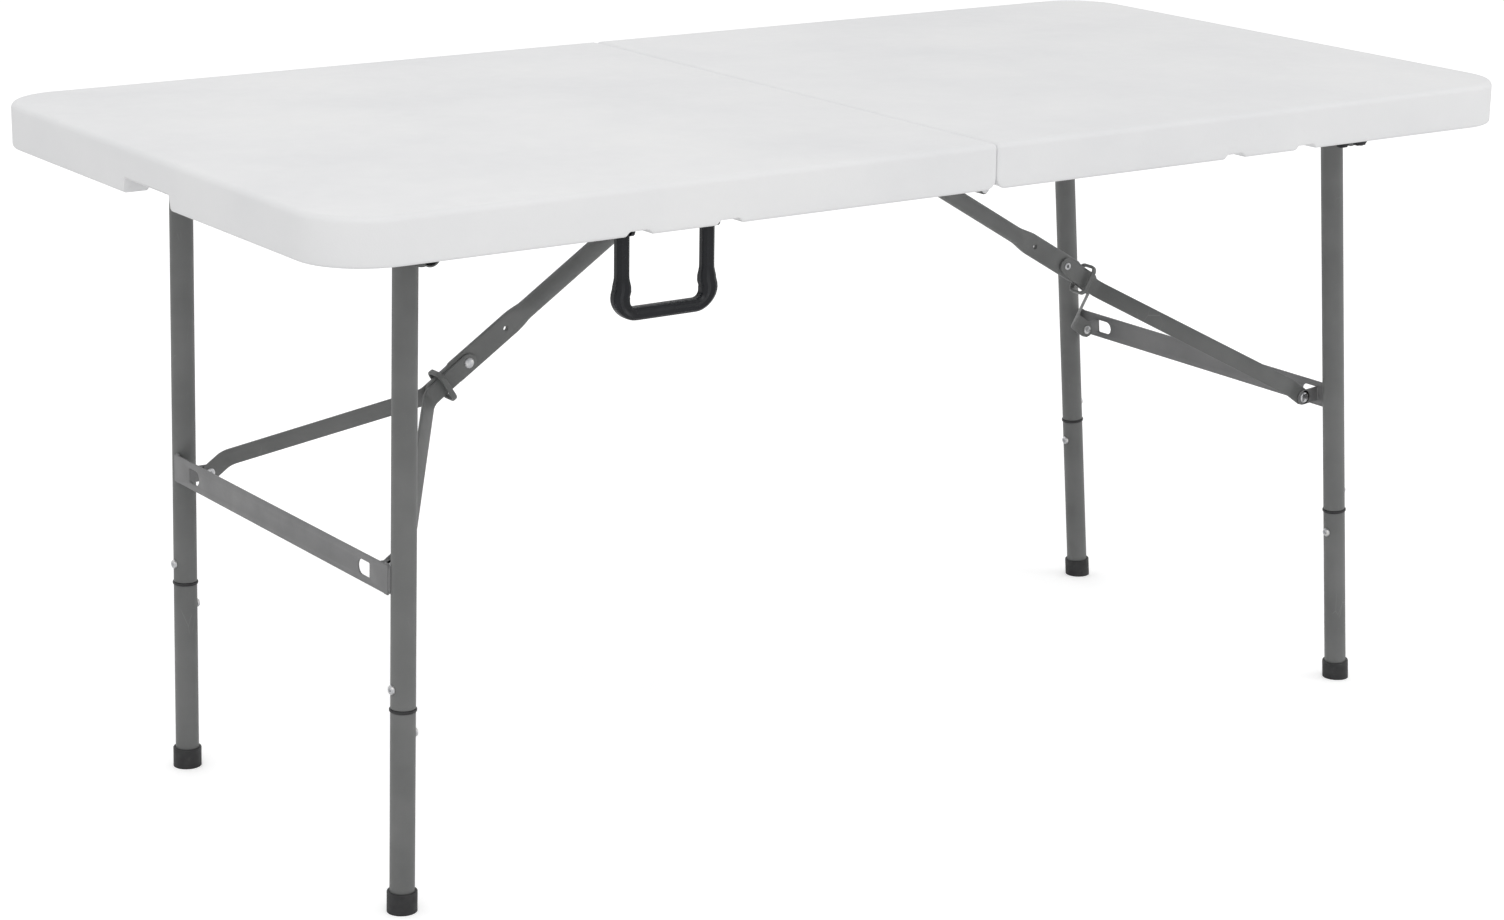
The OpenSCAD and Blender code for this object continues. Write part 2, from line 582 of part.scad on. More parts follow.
top_left();
top_right();
left_rail_front();
left_rail_rear();
right_rail_front();
right_rail_rear();
hinge_leaves_left();
hinge_leaves_right();
hinge_pins();
left_leg_brackets();
right_leg_brackets();
left_link_bracket();
right_link_bracket();
left_bracket_screws();
right_bracket_screws();
left_pivot_tube();
right_pivot_tube();
left_leg_front();
left_leg_rear();
right_leg_front();
right_leg_rear();
left_leg_sleeves();
right_leg_sleeves();
left_leg_collars();
right_leg_collars();
left_lower_leg_front();
left_lower_leg_rear();
right_lower_leg_front();
right_lower_leg_rear();
left_foot_caps();
right_foot_caps();
left_leg_screws();
right_leg_screws();
left_cross_bar();
right_cross_bar();
left_ear_rivets();
right_ear_rivets();
left_upper_link();
right_upper_link();
left_link_pivot();
right_link_pivot();
left_arm_front();
left_arm_rear();
right_arm_front();
right_arm_rear();
left_knee_rivet();
right_knee_rivet();
left_lock_ring();
right_lock_ring();
carry_handle();
handle_brackets();
latch_base();
latch_hook();
latch_catch();
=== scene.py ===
import bpy, bmesh, math, json
from mathutils import Vector, Matrix

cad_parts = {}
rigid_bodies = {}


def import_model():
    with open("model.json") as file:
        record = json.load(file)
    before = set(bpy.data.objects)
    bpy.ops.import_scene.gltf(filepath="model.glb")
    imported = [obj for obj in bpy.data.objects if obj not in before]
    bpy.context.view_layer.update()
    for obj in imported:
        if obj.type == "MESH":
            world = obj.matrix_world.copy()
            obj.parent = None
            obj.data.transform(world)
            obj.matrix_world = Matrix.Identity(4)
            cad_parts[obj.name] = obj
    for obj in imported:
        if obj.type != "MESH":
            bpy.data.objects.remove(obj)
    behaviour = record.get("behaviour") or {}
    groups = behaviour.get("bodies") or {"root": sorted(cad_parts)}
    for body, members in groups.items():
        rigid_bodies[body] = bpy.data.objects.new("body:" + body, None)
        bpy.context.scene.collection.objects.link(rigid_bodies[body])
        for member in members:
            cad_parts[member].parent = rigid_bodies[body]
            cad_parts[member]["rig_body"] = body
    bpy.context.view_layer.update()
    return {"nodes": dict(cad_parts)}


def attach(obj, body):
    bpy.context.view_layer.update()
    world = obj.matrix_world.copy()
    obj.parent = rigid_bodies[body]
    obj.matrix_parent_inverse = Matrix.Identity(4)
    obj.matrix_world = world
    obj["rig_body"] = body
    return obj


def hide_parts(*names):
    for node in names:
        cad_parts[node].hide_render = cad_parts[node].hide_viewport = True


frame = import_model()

S = 0.001
sc = bpy.context.scene
nodes = frame["nodes"]

# ------------------------------------------------------------------ materials

def new_mat(name):
    m = bpy.data.materials.new(name)
    m.use_nodes = True
    nt = m.node_tree
    for n in list(nt.nodes):
        nt.nodes.remove(n)
    out = nt.nodes.new("ShaderNodeOutputMaterial")
    b = nt.nodes.new("ShaderNodeBsdfPrincipled")
    nt.links.new(b.outputs["BSDF"], out.inputs["Surface"])
    return m, nt, b

def coords(nt):
    t = nt.nodes.new("ShaderNodeTexCoord")
    return t.outputs["Object"]

def noise(nt, vec, scale, detail=3.0, rough=0.55):
    n = nt.nodes.new("ShaderNodeTexNoise")
    n.inputs["Scale"].default_value = scale
    n.inputs["Detail"].default_value = detail
    n.inputs["Roughness"].default_value = rough
    nt.links.new(vec, n.inputs["Vector"])
    return n.outputs["Fac"]

def ramp(nt, fac, stops):
    r = nt.nodes.new("ShaderNodeValToRGB")
    cr = r.color_ramp
    cr.elements[0].position = stops[0][0]
    cr.elements[0].color = (*stops[0][1], 1)
    cr.elements[1].position = stops[-1][0]
    cr.elements[1].color = (*stops[-1][1], 1)
    for p, c in stops[1:-1]:
        e = cr.elements.new(p)
        e.color = (*c, 1)
    nt.links.new(fac, r.inputs["Fac"])
    return r.outputs["Color"]

def maprange(nt, v, a, b, c, d):
    n = nt.nodes.new("ShaderNodeMapRange")
    n.inputs["From Min"].default_value = a
    n.inputs["From Max"].default_value = b
    n.inputs["To Min"].default_value = c
    n.inputs["To Max"].default_value = d
    nt.links.new(v, n.inputs["Value"])
    return n.outputs["Result"]

def math2(nt, op, a, b):
    n = nt.nodes.new("ShaderNodeMath")
    n.operation = op
    for i, v in enumerate((a, b)):
        if isinstance(v, (int, float)):
            n.inputs[i].default_value = v
        else:
            nt.links.new(v, n.inputs[i])
    return n.outputs[0]

def mixcol(nt, fac, a, b):
    n = nt.nodes.new("ShaderNodeMix")
    n.data_type = "RGBA"
    if isinstance(fac, (int, float)):
        n.inputs[0].default_value = fac
    else:
        nt.links.new(fac, n.inputs[0])
    for i, v in ((6, a), (7, b)):
        if isinstance(v, tuple):
            n.inputs[i].default_value = (*v, 1)
        else:
            nt.links.new(v, n.inputs[i])
    return n.outputs[2]

def bump(nt, b, height, strength, dist, prev=None):
    n = nt.nodes.new("ShaderNodeBump")
    n.inputs["Strength"].default_value = strength
    n.inputs["Distance"].default_value = dist
    nt.links.new(height, n.inputs["Height"])
    if prev is not None:
        nt.links.new(prev, n.inputs["Normal"])
    nt.links.new(n.outputs["Normal"], b.inputs["Normal"])
    return n.outputs["Normal"]

def mat_white():
    m, nt, b = new_mat("white_polyethylene")
    c = coords(nt)
    cloud = noise(nt, c, 5.0, 4.0)
    speck = noise(nt, c, 420.0, 2.0)
    col = ramp(nt, cloud, [(0.30, (0.735, 0.738, 0.748)), (0.55, (0.772, 0.774, 0.780)), (0.75, (0.795, 0.795, 0.797))])
    scuff = noise(nt, c, 38.0, 6.0, 0.7)
    sf = maprange(nt, scuff, 0.66, 0.78, 0.0, 0.35)
    col = mixcol(nt, sf, col, (0.66, 0.662, 0.668))
    nt.links.new(col, b.inputs["Base Color"])
    r = maprange(nt, noise(nt, c, 60.0, 4.0), 0.3, 0.7, 0.44, 0.58)
    nt.links.new(r, b.inputs["Roughness"])
    b.inputs["Specular IOR Level"].default_value = 0.38
    p = bump(nt, b, noise(nt, c, 9.0, 2.0), 0.12, 0.004)
    p = bump(nt, b, noise(nt, c, 620.0, 2.0), 0.16, 0.0005, p)
    bump(nt, b, speck, 0.10, 0.0006, p)
    return m

def mat_powder(name, lo, mid, hi, r0=0.36, r1=0.50):
    m, nt, b = new_mat(name)
    c = coords(nt)
    big = noise(nt, c, 14.0, 3.0)
    fine = noise(nt, c, 900.0, 2.0)
    col = ramp(nt, big, [(0.30, lo), (0.52, mid), (0.74, hi)])
    fl = maprange(nt, fine, 0.62, 0.76, 0.0, 0.30)
    col = mixcol(nt, fl, col, tuple(x * 1.35 for x in hi))
    # small scratches and rubbed spots
    v = nt.nodes.new("ShaderNodeTexVoronoi")
    v.feature = "DISTANCE_TO_EDGE"
    v.inputs["Scale"].default_value = 55.0
    mp = nt.nodes.new("ShaderNodeMapping")
    mp.inputs["Scale"].default_value = (1.0, 1.0, 0.22)
    nt.links.new(c, mp.inputs["Vector"])
    nt.links.new(mp.outputs["Vector"], v.inputs["Vector"])
    line = maprange(nt, v.outputs["Distance"], 0.0, 0.012, 1.0, 0.0)
    gate = maprange(nt, noise(nt, c, 22.0, 2.0), 0.62, 0.70, 0.0, 1.0)
    wear = math2(nt, "MULTIPLY", line, gate)
    wf = math2(nt, "MULTIPLY", wear, 0.35)
    col = mixcol(nt, wf, col, (0.30, 0.30, 0.295))
    nt.links.new(col, b.inputs["Base Color"])
    rr = maprange(nt, noise(nt, c, 45.0, 4.0), 0.3, 0.7, r0, r1)
    nt.links.new(rr, b.inputs["Roughness"])
    b.inputs["Specular IOR Level"].default_value = 0.5
    p = bump(nt, b, noise(nt, c, 340.0, 2.0), 0.12, 0.0004)
    bump(nt, b, fine, 0.08, 0.0003, p)
    return m

def mat_zinc():
    m, nt, b = new_mat("zinc_plate")
    c = coords(nt)
    col = ramp(nt, noise(nt, c, 160.0, 4.0), [(0.3, (0.50, 0.51, 0.53)), (0.55, (0.66, 0.66, 0.67)), (0.75, (0.74, 0.72, 0.66))])
    nt.links.new(col, b.inputs["Base Color"])
    b.inputs["Metallic"].default_value = 1.0
    nt.links.new(maprange(nt, noise(nt, c, 500.0, 3.0), 0.3, 0.7, 0.22, 0.42), b.inputs["Roughness"])
    bump(nt, b, noise(nt, c, 900.0, 2.0), 0.10, 0.0002)
    return m

def mat_rubber():
    m, nt, b = new_mat("black_rubber")
    c = coords(nt)
    col = ramp(nt, noise(nt, c, 90.0, 4.0), [(0.3, (0.012, 0.012, 0.013)), (0.6, (0.022, 0.022, 0.023)), (0.8, (0.045, 0.044, 0.042))])
    nt.links.new(col, b.inputs["Base Color"])
    nt.links.new(maprange(nt, noise(nt, c, 120.0, 3.0), 0.3, 0.7, 0.42, 0.62), b.inputs["Roughness"])
    bump(nt, b, noise(nt, c, 700.0, 2.0), 0.15, 0.0003)
    return m

def mat_gloss():
    m, nt, b = new_mat("black_gloss_plastic")
    c = coords(nt)
    col = ramp(nt, noise(nt, c, 60.0, 3.0), [(0.3, (0.0035, 0.0042, 0.0062)), (0.6, (0.0050, 0.0060, 0.0088)), (0.8, (0.0080, 0.0092, 0.0130))])
    nt.links.new(col, b.inputs["Base Color"])
    nt.links.new(maprange(nt, noise(nt, c, 40.0, 3.0), 0.3, 0.7, 0.24, 0.31), b.inputs["Roughness"])
    b.inputs["Specular IOR Level"].default_value = 0.34
    p = bump(nt, b, noise(nt, c, 30.0, 2.0), 0.10, 0.0010)
    bump(nt, b, noise(nt, c, 900.0, 2.0), 0.02, 0.0002, p)
    return m

WHITE = mat_white()
GREY = mat_powder("grey_powder_coat", (0.118, 0.121, 0.119), (0.138, 0.141, 0.139), (0.158, 0.160, 0.158))
BAR = mat_powder("bar_powder_coat", (0.165, 0.166, 0.168), (0.186, 0.186, 0.188), (0.205, 0.204, 0.204), 0.40, 0.55)
ZINC = mat_zinc()
RUBBER = mat_rubber()
BLACK = mat_gloss()

# ------------------------------------------------------------------ mesh helpers

def make(name, verts, faces, mat, angle=32.0, M=None):
    """Mesh object from vertices in mm; M places local mm coordinates in the row frame."""
    me = bpy.data.meshes.new(name)
    if M is not None:
        verts = [M @ Vector(v) for v in verts]
    me.from_pydata([tuple(c * S for c in v) for v in verts], [], faces)
    bm = bmesh.new()
    bm.from_mesh(me)
    bmesh.ops.remove_doubles(bm, verts=bm.verts, dist=2e-6)
    bmesh.ops.dissolve_degenerate(bm, edges=bm.edges, dist=1e-6)
    bmesh.ops.recalc_face_normals(bm, faces=bm.faces)
    bm.to_mesh(me)
    bm.free()
    return finish_mesh(name, me, mat, angle)

def rep(o, *names):
    """o stands for these CAD nodes and rides on their body."""
    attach(o, nodes[names[0]]["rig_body"])
    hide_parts(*names)

def finish_mesh(name, me, mat, angle):
    me.materials.clear()
    me.materials.append(mat)
    me.shade_smooth()
    me.set_sharp_from_angle(angle=math.radians(angle))
    o = bpy.data.objects.new(name, me)
    sc.collection.objects.link(o)
    return o

class Buf:
    """Collects several shells into one mesh."""
    def __init__(self):
        self.v, self.f = [], []
    def add(self, vf, M=None):
        v, f = vf
        n = len(self.v)
        self.v += [(M @ Vector(p)) if M is not None else Vector(p) for p in v]
        self.f += [[i + n for i in q] for q in f]
        return self

def loft(rings, closed=False, cap=True):
    n = len(rings[0])
    v = [p for r in rings for p in r]
    f = []
    m = len(rings)
    for i in range(m if closed else m - 1):
        a, b = i * n, ((i + 1) % m) * n
        for j in range(n):
            k = (j + 1) % n
            f.append([a + j, a + k, b + k, b + j])
    if cap and not closed:
        f.append(list(range(n))[::-1])
        f.append([(m - 1) * n + j for j in range(n)])
    return v, f

def revolve(profile, seg=48, ring=False):
    """Profile of (radius, z); ring closes the profile on itself."""
    v, f = [], []
    n = len(profile)
    for i in range(seg):
        a = 2 * math.pi * i / seg
        for r, z in profile:
            v.append((r * math.cos(a), r * math.sin(a), z))
    for i in range(seg):
        k = (i + 1) % seg
        for j in range(n if ring else n - 1):
            l = (j + 1) % n
            f.append([i * n + j, k * n + j, k * n + l, i * n + l])
    return v, f

def rounded(profile, r, steps=3, closed=False):
    """Rounds the corners of an open polyline of 2D points; radius per call."""
    out = []
    n = len(profile)
    for i, p in enumerate(profile):
        if not closed and i in (0, n - 1):
            out.append(p)
            continue
        a = Vector(profile[i - 1]) - Vector(p)
        b = Vector(profile[(i + 1) % n]) - Vector(p)
        la, lb = a.length, b.length
        if la < 1e-6 or lb < 1e-6:
            out.append(p)
            continue
        rr = min(r, 0.49 * la, 0.49 * lb)
        pa, pb = Vector(p) + a / la * rr, Vector(p) + b / lb * rr
        for s in range(steps + 1):
            t = s / steps
            q = pa * (1 - t) ** 2 + Vector(p) * 2 * t * (1 - t) + pb * t * t
            out.append((q.x, q.y))
    return out

def RY(a):
    return Matrix.Rotation(math.radians(a), 4, "Y")

def T(x, y, z):
    return Matrix.Translation((x, y, z))

YUP = Matrix.Rotation(math.radians(-90), 4, "X")   # +Z to +Y

# ------------------------------------------------------------------ dimensions, mm

L2, W2, TOP, EDGE, CEIL = 760.0, 380.0, 740.0, 692.0, 718.0
LEAN = {-1: 1.1, 1: 5.1}
CE = {-1: 371.35, 1: 381.7}
EB = {-1: 246.28, 1: 255.4}
PX, PZ, LEGY, LX, LZ = 607.5, 676.0, 241.0, 90.0, 686.0
JN, BDN, EARIN, EARY = 464.0, 331.0, 9.0, 201.0

def bpos(s):
    a = math.radians(LEAN[s])
    return PX - EARIN * math.cos(a) + BDN * math.sin(a), PZ - BDN * math.cos(a) - EARIN * math.sin(a)

def linkang(s):
    bx, bz = bpos(s)
    d = math.hypot(bx - LX, bz - LZ)
    ch = math.atan2(LZ - bz, bx - LX)
    return math.degrees(ch - math.acos((CE[s] ** 2 + d * d - EB[s] ** 2) / (2 * CE[s] * d)))

def knee(s):
    a = math.radians(linkang(s))
    return LX + CE[s] * math.cos(a), LZ - CE[s] * math.sin(a)

def armang(s):
    bx, bz = bpos(s)
    ex, ez = knee(s)
    return math.degrees(math.atan2(ez - bz, bx - ex))

def legM(s):
    return T(s * PX, 0, PZ) @ RY(-s * LEAN[s])

def mirX(s):
    return Matrix.Scale(-1, 4, (1, 0, 0)) if s < 0 else Matrix.Identity(4)

def linkM(s):
    ex, ez = knee(s)
    return T(s * ex, 0, ez) @ RY(-linkang(s) if s < 0 else 180 + linkang(s))

def armM(s):
    ex, ez = knee(s)
    return T(s * ex, 0, ez) @ RY(180 - armang(s) if s < 0 else armang(s))

SIDE = {-1: "left", 1: "right"}

# ------------------------------------------------------------------ table tops

def smooth01(t):
    t = max(0.0, min(1.0, t))
    return t * t * (3 - 2 * t)

HX, HOFF = 380.5, 52.0

def lift(x, y):
    """Lowest z of the rim's underside at a plan position (right-half coordinates)."""
    z = EDGE
    r = 13.0
    u = x - 0.25
    if u < r:
        z = max(z, EDGE + r - math.sqrt(max(0.0, r * r - (r - max(0.0, u)) ** 2)))
    if x > L2 - 60:
        t = 1 - smooth01((abs(y) - 49.0) / 5.0)
        z = max(z, EDGE + 14.9 * t)
    if y < -W2 + 60:
        for c in (HX - HOFF, HX + HOFF):
            t = 1 - smooth01((abs(x - c) - 9.5) / 7.0)
            z = max(z, EDGE + 4.6 * t)
    return z

def plan(d):
    """Outline of a half, inset by d, as points with equal counts for every d."""
    g, rs, R = 0.25, 3.0, 70.0
    pts = []
    def arc(cx, cy, r, a0, a1, n):
        for i in range(n + 1):
            a = math.radians(a0 + (a1 - a0) * i / n)
            pts.append((cx + r * math.cos(a), cy + r * math.sin(a)))
    def seam_corner(sy, a0, a1):
        if d < rs:
            arc(g + rs, sy * (W2 - rs), rs - d, a0, a1, 4)
        else:
            for i in range(5):
                pts.append((g + d, sy * (W2 - d)))
    seam_corner(-1, 180, 270)
    xs = [g + t for t in (4.5, 6, 7.5, 9, 10.5, 12, 13.5)] + [40]
    for c in (HX - HOFF, HX + HOFF):
        xs += [c - 17.5, c - 16.5] + [c - 9.5 - k for k in range(6, 0, -1)] + [c - 9.5, c, c + 9.5] + [c + 9.5 + k for k in range(1, 7)] + [c + 16.5, c + 17.5]
    for x in sorted(xs):
        pts.append((max(x, g + d) if x < 45 else x, -W2 + d))
    arc(L2 - R, -W2 + R, R - d, -90, 0, 20)
    ys = [-80, -55, -54, -53, -52, -51, -50, -49.4, -48.5, 0, 48.5, 49.4, 50, 51, 52, 53, 54, 55, 80]
    for y in ys:
        pts.append((L2 - d, y))
    arc(L2 - R, W2 - R, R - d, 0, 90, 20)
    for x in sorted(xs, reverse=True):
        pts.append((max(x, g + d) if x < 45 else x, W2 - d))
    seam_corner(1, 90, 180)
    for k in range(1, 8):
        pts.append((g + d, W2 - d - (2 * (W2 - d)) * k / 8))
    return pts

def top_half(s):
    prof = []
    r = 6.5
    for k in range(0, 9):
        a = math.radians(90 * k / 8)
        prof.append((r - r * math.sin(a), TOP - r + r * math.cos(a), False))
    prof.append((0.0, 716.0, False))
    prof.append((0.0, 706.0, False))
    r = 3.5
    for k in range(0, 6):
        a = math.radians(90 * k / 5)
        prof.append((r - r * math.cos(a), EDGE + r - r * math.sin(a), True))
    prof.append((14.0, EDGE, True))
    r = 3.0
    for k in range(0, 5):
        a = math.radians(90 * k / 4)
        prof.append((25.0 + r * math.sin(a), EDGE + r - r * math.cos(a), True))
    prof.append((28.0, 709.0, True))
    r = 5.0
    for k in range(0, 5):
        a = math.radians(90 * k / 4)
        prof.append((28.0 + r - r * math.cos(a), CEIL - r + r * math.sin(a), True))
    rings = []
    for d, z, low in prof:
        ring = []
        for x, y in plan(d):
            zz = z
            if low:
                zl = lift(x, y)
                if zl > EDGE + 0.01:
                    # keep the rounding while lifting the rim's underside
                    zz = max(z, min(CEIL - 3.0, zl + (z - EDGE) * 0.6 if z < EDGE + 4 else max(z, zl)))
            else:
                zz = max(z, min(TOP - 8, lift(x, y) + 2.0)) if z < TOP - 8 else z
            ring.append((s * x, y, min(zz, CEIL) if low else zz))
        rings.append(ring)
    v, f = loft(rings)
    o = make("top_half_" + SIDE[s], v, f, WHITE, 40)
    # cutters: hinge pockets and the moulded posts' dimples in the underside
    b = Buf()
    def boxc(x0, x1, y0, y1, z0, z1):
        q = [(x, y, z) for x in (x0, x1) for y in (y0, y1) for z in (z0, z1)]
        return q, [[0, 1, 3, 2], [4, 6, 7, 5], [0, 4, 5, 1], [2, 3, 7, 6], [0, 2, 6, 4], [1, 5, 7, 3]]
    for sy in (-1, 1):
        xs = sorted((s * -3.0, s * 10.0))
        b.add(boxc(xs[0], xs[1], sy * 345 - 18, sy * 345 + 18, EDGE - 3, 700))
        xs = sorted((s * 10.001, s * 74.0))
        b.add(boxc(xs[0], xs[1], sy * 345 - 18, sy * 345 + 18, EDGE - 3, 696))
    px = [62 + 45.5 * i for i in range(15)]
    py = [-294 + 42 * j for j in range(15)]
    cone = [(0, 11.0), (2.2, 11.0), (3.2, 10.4), (4.0, 9.0), (6.6, 1.2), (7.6, 0.2), (8.6, -0.3), (8.6, -3.0), (0, -3.0)]
    for i, x in enumerate(px):
        for j, y in enumerate(py):
            yy = y + (21 if i % 2 else 0)
            if abs(yy) > 300:
                continue
            b.add(revolve([(max(rr, 0.0), zz) for rr, zz in cone], 12), T(s * x, yy, CEIL))
    cut = make("cutter_" + SIDE[s], b.v, b.f, WHITE, 40)
    mod = o.modifiers.new("cut", "BOOLEAN")
    mod.operation = "DIFFERENCE"
    mod.solver = "EXACT"
    mod.object = cut
    bpy.context.view_layer.update()
    dg = bpy.context.evaluated_depsgraph_get()
    me = bpy.data.meshes.new_from_object(o.evaluated_get(dg))
    o.modifiers.clear()
    bpy.data.objects.remove(cut)
    me.name = "top_half_" + SIDE[s]
    o.data = me
    me.shade_smooth()
    me.set_sharp_from_angle(angle=math.radians(40))
    rep(o, "top_" + SIDE[s])
    return o

for s in (-1, 1):
    top_half(s)

# ------------------------------------------------------------------ legs

def tube(r, ri, z0, z1, c=0.4):
    return revolve([(ri, z0 + c), (ri + c, z0), (r - c, z0), (r, z0 + c), (r, z1 - c), (r - c, z1), (ri + c, z1), (ri, z1 - c)], 64, True)

def leglen(s):
    return PZ / math.cos(math.radians(LEAN[s]))

for s in (-1, 1):
    for sy, nm in ((-1, "front"), (1, "rear")):
        M = legM(s) @ T(0, sy * LEGY, 0)
        v, f = tube(12.7, 11.2, -JN + 1.6, -2.4)
        o = make("upper_leg_%s_%s" % (SIDE[s], nm), v, f, GREY, 35, M)
        rep(o, "%s_leg_%s" % (SIDE[s], nm))
        v, f = tube(12.7, 11.2, -leglen(s) + 6.0, -JN - 1.6)
        o = make("lower_leg_%s_%s" % (SIDE[s], nm), v, f, GREY, 35, M)
        rep(o, "%s_lower_leg_%s" % (SIDE[s], nm))
        # rubber foot with a soft lip, cut level with the floor
    b = Buf()
    for sy in (-1, 1):
        M = legM(s) @ T(0, sy * LEGY, -leglen(s))
        prof = rounded([(0.0, -3.2), (15.45, -3.2), (15.45, 21.9), (12.75, 22.0), (12.75, 5.9), (0.0, 5.9)], 1.3, 4)
        v, f = revolve(prof, 64)
        vv = []
        for p in v:
            q = M @ Vector(p)
            if q.z < 0:
                # slide along the leg to the floor plane
                ax = (M.to_3x3() @ Vector((0, 0, 1))).normalized()
                q = q + ax * (-q.z / ax.z)
            vv.append(q)
        b.add((vv, f))
    o = make("foot_caps_" + SIDE[s], b.v, b.f, RUBBER, 50)
    rep(o, SIDE[s] + "_foot_caps")
    b = Buf()
    for sy in (-1, 1):
        M = legM(s) @ T(0, sy * LEGY, -JN)
        b.add(revolve(rounded([(11.3, -1.5), (13.85, -1.5), (13.85, 1.5), (11.3, 1.5)], 0.9, 4, True), 64, True), M)
    o = make("collars_" + SIDE[s], b.v, b.f, RUBBER, 50)
    rep(o, SIDE[s] + "_leg_collars")
    # pan-head screws with a cross recess
    b = Buf()
    for sy in (-1, 1):
        for dz, out in ((22.0, 1), (-26.0, -1)):
            M = legM(s) @ T(0, sy * LEGY, -JN + dz) @ RY(out * s * 90) @ T(0, 0, 12.72)
            N = 32
            rings = []
            for r, z in ((5.0, -0.5), (5.0, 0.5), (4.9, 1.1), (4.6, 1.8), (4.0, 2.4), (3.4, 2.68), (2.9, 2.78), (2.3, 2.8), (1.5, 2.8), (0.9, 2.8)):
                ring = []
                for i in range(N):
                    a = 2 * math.pi * i / N
                    zz = z
                    x, y = r * math.cos(a), r * math.sin(a)
                    if r <= 2.35 and (abs(x) < 0.55 or abs(y) < 0.55):
                        zz = z - 1.2
                    ring.append((x, y, zz))
                rings.append(ring)
            b.add(loft(rings), M)
            b.add(revolve([(0, -8), (2.3, -8), (2.45, -7.8), (2.45, -0.4), (0, -0.4)], 20), M)
    o = make("leg_screws_" + SIDE[s], b.v, b.f, ZINC, 35)
    rep(o, SIDE[s] + "_leg_screws")

# ------------------------------------------------------------------ flat-bar work

def section(w, t, r, steps=3):
    """Rounded rectangle, w along the first axis and t along the second."""
    pts = []
    for cx, cy, a0 in ((w / 2 - r, t / 2 - r, 0), (-w / 2 + r, t / 2 - r, 90), (-w / 2 + r, -t / 2 + r, 180), (w / 2 - r, -t / 2 + r, 270)):
        for k in range(steps + 1):
            a = math.radians(a0 + 90 * k / steps)
            pts.append((cx + r * math.cos(a), cy + r * math.sin(a)))
    return pts

def extrude_plate(outer, holes, t, edge=0.45):
    """Plate in local XY between z = 0 and t, with holes and a small rounded edge all round. Returns verts and faces."""
    bm = bmesh.new()
    loops = []
    for loop in [outer] + holes:
        vs = [bm.verts.new((x, y, 0)) for x, y in loop]
        es = [bm.edges.new((vs[i], vs[(i + 1) % len(vs)])) for i in range(len(vs))]
        loops.append(es)
    bmesh.ops.triangle_fill(bm, use_beauty=True, use_dissolve=False, edges=[e for l in loops for e in l])
    bmesh.ops.dissolve_limit(bm, angle_limit=0.01, verts=bm.verts, edges=bm.edges)
    ret = bmesh.ops.extrude_face_region(bm, geom=bm.faces[:])
    vs = [g for g in ret["geom"] if isinstance(g, bmesh.types.BMVert)]
    bmesh.ops.translate(bm, verts=vs, vec=(0, 0, t))
    bmesh.ops.recalc_face_normals(bm, faces=bm.faces)
    es = [e for e in bm.edges if len(e.link_faces) == 2 and e.calc_face_angle(0) > math.radians(60)
          and abs(e.verts[0].co.z - e.verts[1].co.z) < 1e-6]
    bmesh.ops.bevel(bm, geom=es, offset=edge, segments=2, profile=0.5, affect="EDGES", clamp_overlap=True)
    bm.verts.ensure_lookup_table()
    v = [tuple(q.co) for q in bm.verts]
    f = [[q.index for q in p.verts] for p in bm.faces]
    bm.free()
    return v, f

def arc_pts(cx, cy, r, a0, a1, n):
    return [(cx + r * math.cos(math.radians(a0 + (a1 - a0) * i / n)), cy + r * math.sin(math.radians(a0 + (a1 - a0) * i / n))) for i in range(n + 1)]

def weld_bead(p0, p1, r, n=14, seed=0.0):
    """A rippled bead between two points."""
    p0, p1 = Vector(p0), Vector(p1)
    d = (p1 - p0)
    L = d.length
    d.normalize()
    u = d.cross(Vector((0, 1, 0)) if abs(d.y) < 0.9 else Vector((1, 0, 0))).normalized()
    w = d.cross(u)
    rings = []
    m = n * 4
    for i in range(m + 1):
        t = i / m
        rip = 0.82 + 0.18 * abs(math.sin(math.pi * t * n + seed)) + 0.08 * math.sin(7.1 * t + seed * 3)
        e = math.sqrt(max(0.02, 1 - (2 * t - 1) ** 8))
        rr = r * rip * e
        c = p0 + d * (L * t)
        rings.append([c + u * rr * math.cos(a) + w * rr * math.sin(a) for a in [2 * math.pi * k / 14 for k in range(14)]])
    return loft(rings)

